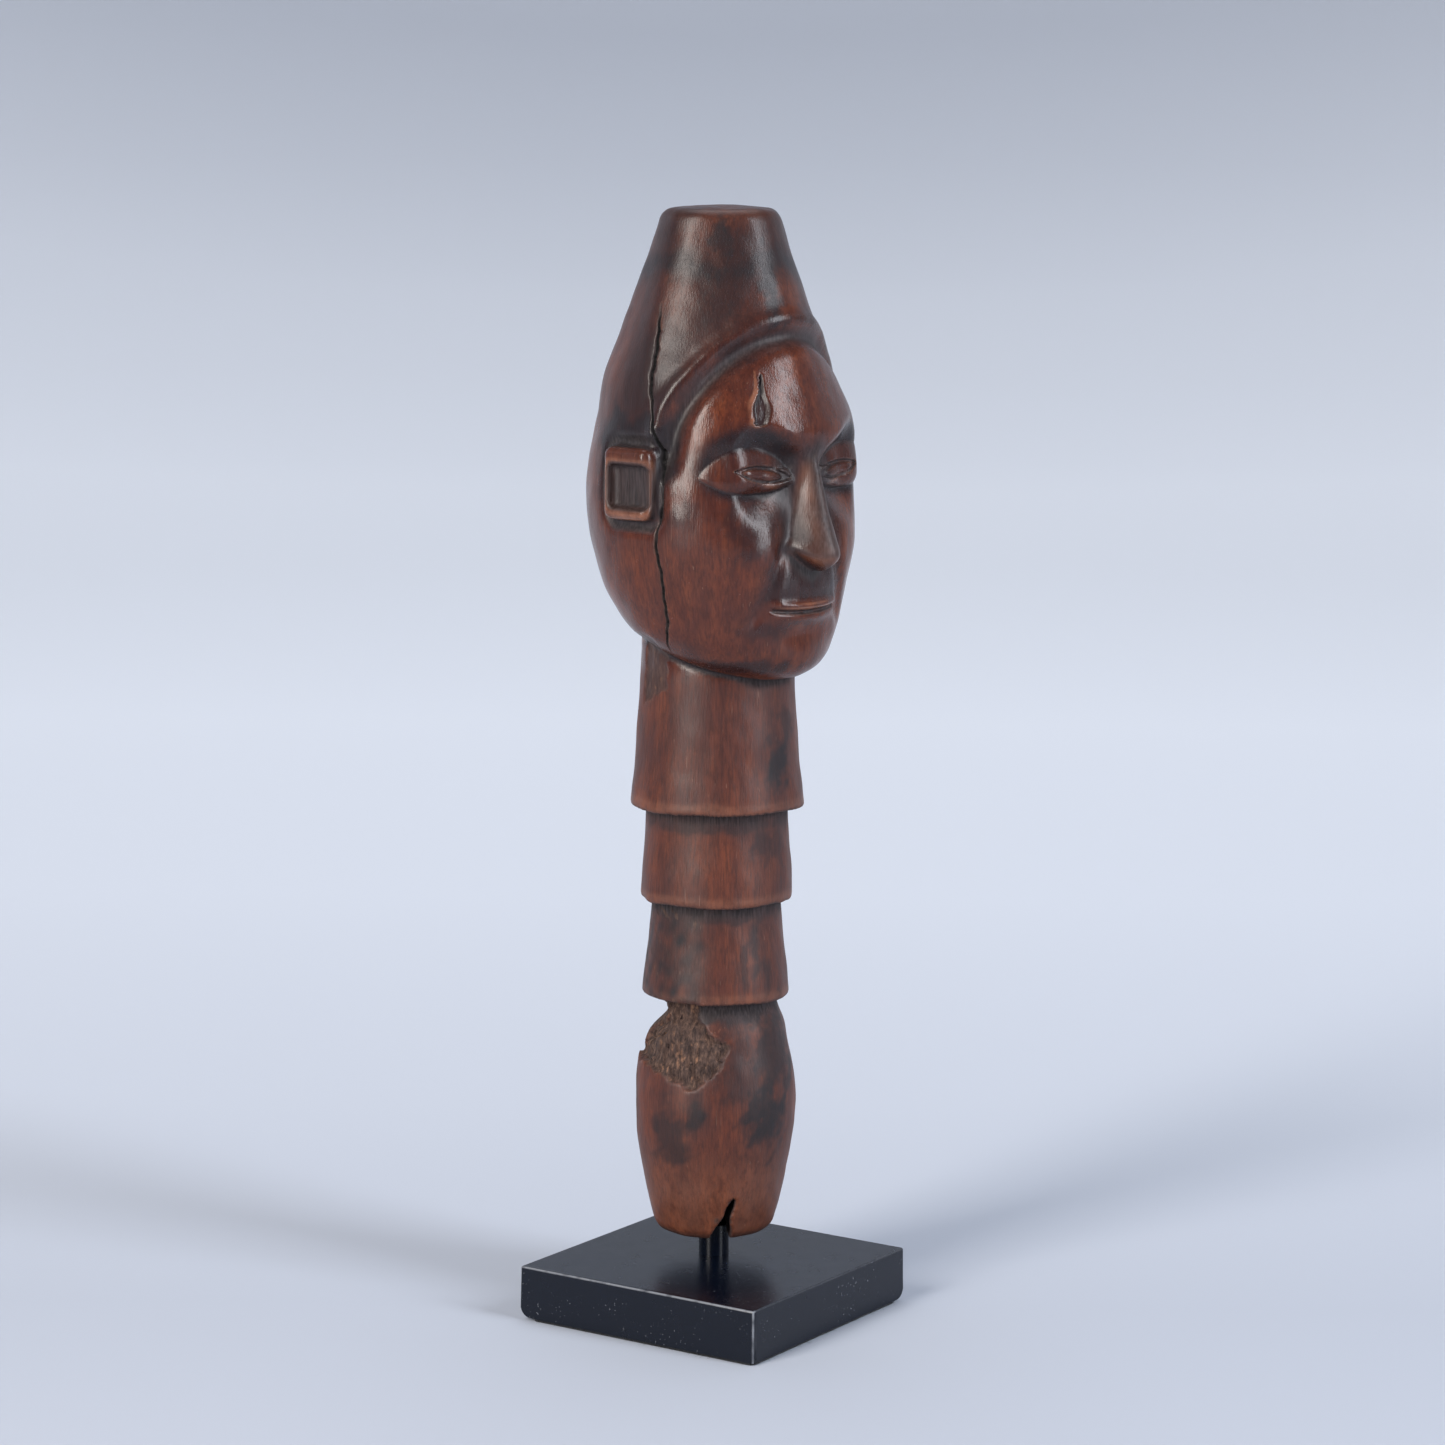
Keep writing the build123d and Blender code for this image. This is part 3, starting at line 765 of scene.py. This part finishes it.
def polished_hardwood():
    """A dense red-brown tropical hardwood, knife-carved and then polished by years of handling.

    The eye sees fine upright grain in warm brown, a black patination, paler wood on worn edges, soft
    shine on the head, and dull tan fibres where the wood is broken. Dust lies grey in the hollows, and
    painted shade darkens them, the creases, the crack and the wood under the collars and the jaw.
    """
    material, tree = new_material("polished_hardwood")
    place = node(tree, "TexCoord", {}, "Object")
    marks = ("stain_and_shade", "hollow", "worn", "broken", "handled", "crack")
    mark = {name: node(tree, "Attribute", {}, "Fac", attribute_name=name) for name in marks}

    def wood_figure(size_mm, along, detail=3.0, rough=0.55):
        """Chance patches about size_mm across, stretched up the grain by along."""
        spread = node(tree, "Mapping", {"Vector": place, "Scale": (1, 1, 1 / along)})
        look = {"Vector": spread, "Scale": 1 / (size_mm * MM), "Detail": detail, "Roughness": rough}
        return node(tree, "TexNoise", look)

    # pores and rays of this wood are 0.1 to 0.2 mm wide, drawn at 0.35 mm so that they show
    grain = wood_figure(0.35, 14.0, 2.0)
    streaks = wood_figure(2.0, 6.0, 4.0)
    patches = wood_figure(9.0, 2.0, 4.0, 0.6)
    mottle = wood_figure(1.6, 1.6, 5.0, 0.7)

    # fine cuts that lean across the grain, 0.3 mm wide
    lean = node(tree, "Mapping", {"Vector": place, "Rotation": (0.5, 0.75, 0), "Scale": (1, 1, 0.03)})
    cuts = node(tree, "TexNoise", {"Vector": lean, "Scale": 1 / (0.3 * MM), "Detail": 1.0})
    cuts = node(tree, "ValToRGB", {0: cuts}, stops=[(0.73, 0.0), (0.76, 1.0)])
    cut_patches = node(tree, "ValToRGB", {0: patches}, stops=[(0.42, 0.0), (0.6, 0.5)])
    cuts = node(tree, "Math", {0: cuts, 1: cut_patches}, **TIMES)

    warm = [(0.3, "#4D2316"), (0.5, "#5D2C1A"), (0.7, "#6C361F")]
    darker = node(tree, "ValToRGB", {0: patches}, stops=[(0.38, 0.0), (0.62, 0.7)])
    freckles = node(tree, "ValToRGB", {0: mottle}, stops=[(0.36, 0.4), (0.52, 0.0)])
    pores = node(tree, "ValToRGB", {0: grain}, stops=[(0.35, 0.45), (0.55, 0.0)])
    uneven_wear = node(tree, "ValToRGB", {0: mottle}, stops=[(0.3, 0.35), (0.6, 1.0)])
    worn = node(tree, "Math", {0: mark["worn"], 1: uneven_wear}, **TIMES)
    worn = node(tree, "Math", {0: worn, 1: 0.75}, **TIMES)
    uneven_stain_and_shade = node(tree, "ValToRGB", {0: mottle}, stops=[(0.3, 0.0), (0.7, 0.35)])
    # dark old patination together with painted shade, from the stain_and_shade share
    patina_and_shade = node(tree, "Math", {0: uneven_stain_and_shade, 1: mark["stain_and_shade"], 2: mark["stain_and_shade"]}, **TIMES_PLUS)
    patina_and_shade = node(tree, "Math", {0: patina_and_shade, 1: 0.9}, **TIMES)
    # Dust and painted shade lie in grey over the hollow share
    uneven_dust_and_shade = node(tree, "ValToRGB", {0: mottle}, stops=[(0.3, 0.75), (0.6, 0.95)])
    dust_and_shade = node(tree, "Math", {0: mark["hollow"], 1: uneven_dust_and_shade}, **TIMES)
    dust_and_shade_colour = node(tree, "ValToRGB", {0: grain}, stops=[(0.4, "#1C1718"), (0.65, "#3A3334")])
    torn = wood_figure(0.6, 3.0, 4.0, 0.7)
    torn = node(tree, "ValToRGB", {0: torn}, stops=[(0.36, "#2C201C"), (0.52, "#4A3831"), (0.68, "#6B5346")])
    splinters = node(tree, "ValToRGB", {0: wood_figure(1.5, 2.0, 4.0, 0.6)}, stops=[(0.6, 0.0), (0.72, 0.8)])
    torn = node(tree, "Mix", {0: splinters, 6: torn, 7: "#9A7157"}, **LAID_OVER)

    colour = node(tree, "ValToRGB", {0: streaks}, stops=warm)
    coats = [
        (darker, "#40201B"),
        (freckles, "#331811"),
        (pores, "#2A1512"),
        (worn, "#94624A"),
        (cuts, "#8D6A58"),
        # dark old patination together with painted shade
        (patina_and_shade, "#1D1416"),
        # Dust and painted shade in the hollows
        (dust_and_shade, dust_and_shade_colour),
        (mark["broken"], torn),
        # near-black painted shade in the drying crack
        (mark["crack"], "#050404"),
    ]
    for share, coat in coats:
        colour = node(tree, "Mix", {0: share, 6: colour, 7: coat}, **LAID_OVER)

    dull = node(tree, "Math", {0: mottle, 1: 0.2, 2: 0.38}, **TIMES_PLUS)
    duller = {"handled": -0.24, "hollow": 0.3, "worn": -0.05, "stain_and_shade": 0.04, "broken": 0.4, "crack": 0.5}
    for name, more in duller.items():
        dull = node(tree, "Math", {0: mark[name], 1: more, 2: dull}, **TIMES_PLUS)

    dimples = node(tree, "Math", {0: wood_figure(1.2, 1.2, 4.0), 1: 0.5}, **TIMES)
    height = node(tree, "Math", {0: wood_figure(0.3, 8.0, 2.0), 1: 0.6, 2: dimples}, **TIMES_PLUS)
    bump = node(tree, "Bump", {"Strength": 0.5, "Distance": 0.12 * MM, "Height": height})
    surface = {"Base Color": colour, "Roughness": dull, "IOR": 1.45, "Normal": bump}
    node(tree, "OutputMaterial", {"Surface": node(tree, "BsdfPrincipled", surface)})
    return material


def satin_black_paint():
    """Spray paint on steel, nearly black and half glossy.

    The eye sees orange peel in its shine, grey steel where the edges are rubbed, and pale flecks.
    """
    material, tree = new_material("satin_black_paint")
    place = node(tree, "TexCoord", {}, "Object")
    rubbed = node(tree, "Attribute", {}, "Fac", attribute_name="rubbed")
    # millimetres across and detail: wear, flecks, where flecks lie, orange peel and uneven shine
    sizes = [(2.5, 4.0), (0.5, 2.0), (7, 2.0), (1.4, 2.0), (3.0, 2.0)]
    looks = [{"Vector": place, "Scale": 1 / (size * MM), "Detail": detail} for size, detail in sizes]
    wear, flecks, flecked, peel, shine = (node(tree, "TexNoise", look) for look in looks)

    wear = node(tree, "ValToRGB", {0: wear}, stops=[(0.3, 0.3), (0.5, 1.0)])
    rubbed = node(tree, "Math", {0: rubbed, 1: wear}, **TIMES)
    flecks = node(tree, "ValToRGB", {0: flecks}, stops=[(0.68, 0.0), (0.72, 1.0)])
    flecked = node(tree, "ValToRGB", {0: flecked}, stops=[(0.48, 0.0), (0.6, 1.0)])
    flecks = node(tree, "Math", {0: flecks, 1: flecked}, **TIMES)
    flecks = node(tree, "Math", {0: flecks, 1: 0.6}, **TIMES)
    bare = node(tree, "Math", {0: rubbed, 1: flecks}, operation="MAXIMUM")
    colour = node(tree, "Mix", {0: bare, 6: "#040A18", 7: "#8F9298"}, **LAID_OVER)
    rough = node(tree, "MapRange", {"Value": shine, "To Min": 0.22, "To Max": 0.3})
    bump = node(tree, "Bump", {"Strength": 0.1, "Distance": 0.05 * MM, "Height": peel})
    surface = {"Base Color": colour, "Roughness": rough, "IOR": 1.41, "Normal": bump}
    node(tree, "OutputMaterial", {"Surface": node(tree, "BsdfPrincipled", surface)})
    return material


def black_shrink_tube():
    """Polyolefin shrunk on the rod: matt black, with the faint ribs of its own extrusion."""
    material, tree = new_material("black_shrink_tube")
    place = node(tree, "TexCoord", {}, "Object")
    spread = node(tree, "Mapping", {"Vector": place, "Scale": (1, 1, 0.05)})
    ribs = node(tree, "TexNoise", {"Vector": spread, "Scale": 1 / (0.3 * MM), "Detail": 1.0})
    bump = node(tree, "Bump", {"Strength": 0.2, "Distance": 0.03 * MM, "Height": ribs})
    surface = {"Base Color": "#121214", "Roughness": 0.55, "IOR": 1.5, "Normal": bump}
    node(tree, "OutputMaterial", {"Surface": node(tree, "BsdfPrincipled", surface)})
    return material


def zinc_plated_steel():
    """Zinc plated steel, pale grey: the eye sees a dull shine over a finely uneven plating."""
    material, tree = new_material("zinc_plated_steel")
    place = node(tree, "TexCoord", {}, "Object")
    plating = node(tree, "TexNoise", {"Vector": place, "Scale": 1 / (0.2 * MM), "Detail": 2.0})
    bump = node(tree, "Bump", {"Strength": 0.15, "Distance": 0.02 * MM, "Height": plating})
    rough = node(tree, "MapRange", {"Value": plating, "To Min": 0.3, "To Max": 0.5})
    surface = {"Base Color": "#B9BBB8", "Metallic": 1.0, "Roughness": rough, "Normal": bump}
    node(tree, "OutputMaterial", {"Surface": node(tree, "BsdfPrincipled", surface)})
    return material


def black_felt():
    """Pressed wool felt: no weave, only a matt mat of short black hairs that catches a little light."""
    material, tree = new_material("black_felt")
    place = node(tree, "TexCoord", {}, "Object")
    hairs = node(tree, "TexNoise", {"Vector": place, "Scale": 1 / (0.25 * MM), "Detail": 4.0})
    colour = node(tree, "ValToRGB", {0: hairs}, stops=[(0.35, "#0B0C0E"), (0.7, "#24272C")])
    bump = node(tree, "Bump", {"Strength": 0.8, "Distance": 0.15 * MM, "Height": hairs})
    surface = {"Base Color": colour, "Roughness": 0.95, "Sheen Weight": 0.3, "Normal": bump}
    node(tree, "OutputMaterial", {"Surface": node(tree, "BsdfPrincipled", surface)})
    return material


# ---------------------------------------------------------------- the pieces


def turned(mesh):
    """From the doll's own measure to the stand's frame: it is turned 10 degrees on its pin."""
    turn = Matrix.Rotation(math.radians(-10), 4, "Z")
    mesh.transform(turn @ Matrix.Scale(MM, 4) @ Matrix.Scale(-1, 4, Vector((0, 1, 0))))
    mesh.flip_normals()


def add_piece(mesh, body, slot, material, *replaced):
    """Adds a mesh that rides on a body, in place of the CAD nodes it replaces."""
    piece = bpy.data.objects.new(mesh.name, mesh)
    bpy.context.scene.collection.objects.link(piece)
    mesh.materials.append(material)
    mesh.shade_smooth()
    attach(piece, body)
    if replaced:
        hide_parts(*replaced)
    return piece


def add_doll():
    """The carved doll, with its age laid on its wood."""
    mesh = carved_mesh()
    lay_age_on(mesh)
    turned(mesh)
    add_piece(mesh, "figure", "carved_wood", polished_hardwood(), "carved_figure")


add_doll()


def on_rounding(place):
    """Whether a point lies within the small rounding between two sides of the block."""
    in_from = [min(place[i] - BLOCK_LOW[i], BLOCK_HIGH[i] - place[i]) / MM for i in range(3)]
    return sum(0.02 < d < 0.36 for d in in_from) >= 2


def add_block(paint):
    """The steel block, whose top and upright edges are marked as rubbed."""
    work = bmesh.new()
    bmesh.ops.create_cube(work, size=1)
    for corner in work.verts:
        corner.co = BLOCK_MIDDLE + corner.co * (BLOCK_HIGH - BLOCK_LOW)
    high, low = BLOCK_HIGH - Vector((1, 1, 1)) * MM, BLOCK_LOW.z + MM
    rear = [e for e in work.edges if all(v.co.z < low for v in e.verts)]
    rear = [e for e in rear if any(all(v.co[i] > high[i] for v in e.verts) for i in (0, 1))]
    bmesh.ops.bevel(work, geom=rear, offset=2.2 * MM, segments=7, profile=0.5, affect="EDGES")
    sharp = [e for e in work.edges if e.calc_face_angle(0) > 1 and max(v.co.z for v in e.verts) > high.z]
    bmesh.ops.bevel(work, geom=sharp, offset=0.38 * MM, segments=3, profile=0.5, affect="EDGES")
    everything = list(work.verts) + list(work.edges) + list(work.faces)
    sideways = Vector((1, 0, 0))
    plane = {"plane_co": BLOCK_LOW + sideways * MM, "plane_no": sideways}
    bmesh.ops.bisect_plane(work, geom=everything, **plane)
    front_edge = BLOCK_LOW.x + 0.9 * MM
    rubbed = [on_rounding(v.co) * (0.75 if v.co.x < front_edge else 0.12) for v in work.verts]
    mesh = bpy.data.meshes.new("painted_block")
    work.to_mesh(mesh)
    work.free()
    laid_on(mesh, "rubbed", np.array(rubbed))
    piece = add_piece(mesh, "stand", "stand_paint", paint, "base_block")
    for face in piece.data.polygons:
        face.use_smooth = face.area < 0.1 * max(f.area for f in piece.data.polygons)


FELT_HAIRS, HAIR_RADIUS = 420, 0.035


def add_felt_hairs(felt):
    """Short black hairs that stand out all round the felt's cut edge."""
    low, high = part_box("base_felt")
    chance = np.random.default_rng(7)
    points, faces = [], []
    for _ in range(FELT_HAIRS):
        side, along = chance.integers(4), chance.uniform()
        outward = Vector((math.cos(side * math.pi / 2), math.sin(side * math.pi / 2), 0))
        middle, half = (low + high) / 2, (high - low) / 2
        sideways = Vector((-outward.y, outward.x, 0))
        root = middle + outward * (half.x - 0.3 * MM) + sideways * half.x * (2 * along - 1)
        root.z = chance.uniform(0.1, 0.45) * MM
        way = (outward + Vector(chance.normal(0, 0.5, 3))).normalized() * chance.uniform(0.5, 2.0) * MM
        tip = root + way
        tip.z = max(tip.z, 0.06 * MM)
        across = way.orthogonal().normalized() * HAIR_RADIUS * MM
        start = len(points)
        points += [root + Quaternion(way, math.tau * i / 3) @ across for i in range(3)] + [tip]
        faces += [(start + i, start + (i + 1) % 3, start + 3) for i in range(3)]
    mesh = bpy.data.meshes.new("felt_hairs")
    mesh.from_pydata(points, [], faces)
    add_piece(mesh, "stand", "stand_felt", felt)


paint, tube, steel, felt = satin_black_paint(), black_shrink_tube(), zinc_plated_steel(), black_felt()
add_block(paint)
add_felt_hairs(felt)
FINISHES = {
    "mount_post": paint,
    "mount_pin": paint,
    "pin_sleeve": tube,
    "post_screw": steel,
    "post_washer": steel,
    "base_felt": felt,
}
for name, finish in FINISHES.items():
    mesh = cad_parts[name].data
    mesh.materials.clear()
    mesh.materials.append(finish)

# ---------------------------------------------------------------- floor and light

AWAY_FROM_VIEW = (-math.sin(VIEW_AZIMUTH), math.cos(VIEW_AZIMUTH), 0)
SWEEP_FLAT, SWEEP_BEND, SWEEP_TALL, SWEEP_SIDES, BEND_STEPS = 1.25, 0.9, 1.6, 96, 12

# How strongly the paper glows, by its share of GLOW_REACH metres behind the stand
GLOW_REACH = 2.0
PAPER_GLOW = [
    (0.0, 0.0),
    (0.04, 0.07),
    (0.08, 0.14),
    (0.2, 0.29),
    (0.365, 0.4),
    (0.71, 0.42),
    (0.835, 0.32),
    (0.94, 0.148),
]


def lamp_lit_paper():
    """Matt pale grey paper, which glows a little behind the stand, as if background lamps lit it."""
    material, tree = new_material("lamp_lit_paper")
    place = node(tree, "TexCoord", {}, "Object")
    along = {0: place, 1: AWAY_FROM_VIEW}
    away = node(tree, "VectorMath", along, "Value", operation="DOT_PRODUCT")
    far = node(tree, "MapRange", {"Value": away, "From Max": GLOW_REACH})
    glow = node(tree, "ValToRGB", {0: far}, stops=PAPER_GLOW)
    surface = {"Base Color": "#BCC2CE", "Roughness": 0.9}
    surface |= {"Emission Color": "#F4F8FF", "Emission Strength": glow}
    node(tree, "OutputMaterial", {"Surface": node(tree, "BsdfPrincipled", surface)})
    return material


def photo_sweep():
    """A round seamless sweep: a pale floor that curves up into a wall on every side."""
    outline = [(0.0, 0.0), (SWEEP_FLAT / 2, 0.0)]
    for step in range(BEND_STEPS + 1):
        bend = math.radians(90) * step / BEND_STEPS
        outline.append((SWEEP_FLAT + SWEEP_BEND * math.sin(bend), SWEEP_BEND * (1 - math.cos(bend))))
    outline.append((SWEEP_FLAT + SWEEP_BEND, SWEEP_TALL))
    work = bmesh.new()
    rings = []
    for radius, height in outline[1:]:
        angles = (math.tau * i / SWEEP_SIDES for i in range(SWEEP_SIDES))
        ring = [(radius * math.cos(a), radius * math.sin(a), height) for a in angles]
        rings.append([work.verts.new(place) for place in ring])
    work.faces.new(rings[0])
    for low, high in zip(rings, rings[1:]):
        for i in range(SWEEP_SIDES):
            j = (i + 1) % SWEEP_SIDES
            work.faces.new((low[i], high[i], high[j], low[j]))
    mesh = bpy.data.meshes.new("photo_sweep")
    work.to_mesh(mesh)
    work.free()
    mesh.shade_smooth()
    sweep = bpy.data.objects.new("photo_sweep", mesh)
    bpy.context.scene.collection.objects.link(sweep)
    mesh.materials.append(lamp_lit_paper())


def softbox(name, from_view, height, distance, size, power, colour):
    """A square soft light, aimed at the doll's middle from beside the camera."""
    azimuth = VIEW_AZIMUTH + math.radians(from_view)
    rise = math.radians(height)
    level = math.cos(rise)
    way = Vector((math.sin(azimuth) * level, -math.cos(azimuth) * level, math.sin(rise)))
    light = bpy.data.objects.new(name, bpy.data.lights.new(name, "AREA"))
    light.data.shape = "RECTANGLE"
    light.data.size, light.data.size_y = size
    light.data.energy = power
    light.data.color = linear(colour)[:3]
    light.location = Vector((0, 0, 0.11)) + way * distance
    light.rotation_mode = "QUATERNION"
    light.rotation_quaternion = way.to_track_quat("Z", "Y")
    bpy.context.scene.collection.objects.link(light)


def add_light():
    softbox("key_left", -42, 24, 1.1, (0.32, 1.0), 14, "#FFF9F2")
    softbox("fill_right", 58, 24, 1.1, (0.3, 1.0), 10.5, "#F4F8FF")
    softbox("top", 180, 70, 1.3, (0.8, 0.8), 4.0, "#F4F8FF")
    world = bpy.data.worlds.new("studio")
    world.use_nodes = True
    world.node_tree.nodes["Background"].inputs[0].default_value = linear("#DCE4F2")
    world.node_tree.nodes["Background"].inputs[1].default_value = 0.2
    bpy.context.scene.world = world
    bpy.context.scene.view_settings.view_transform = "Standard"


photo_sweep()
add_light()
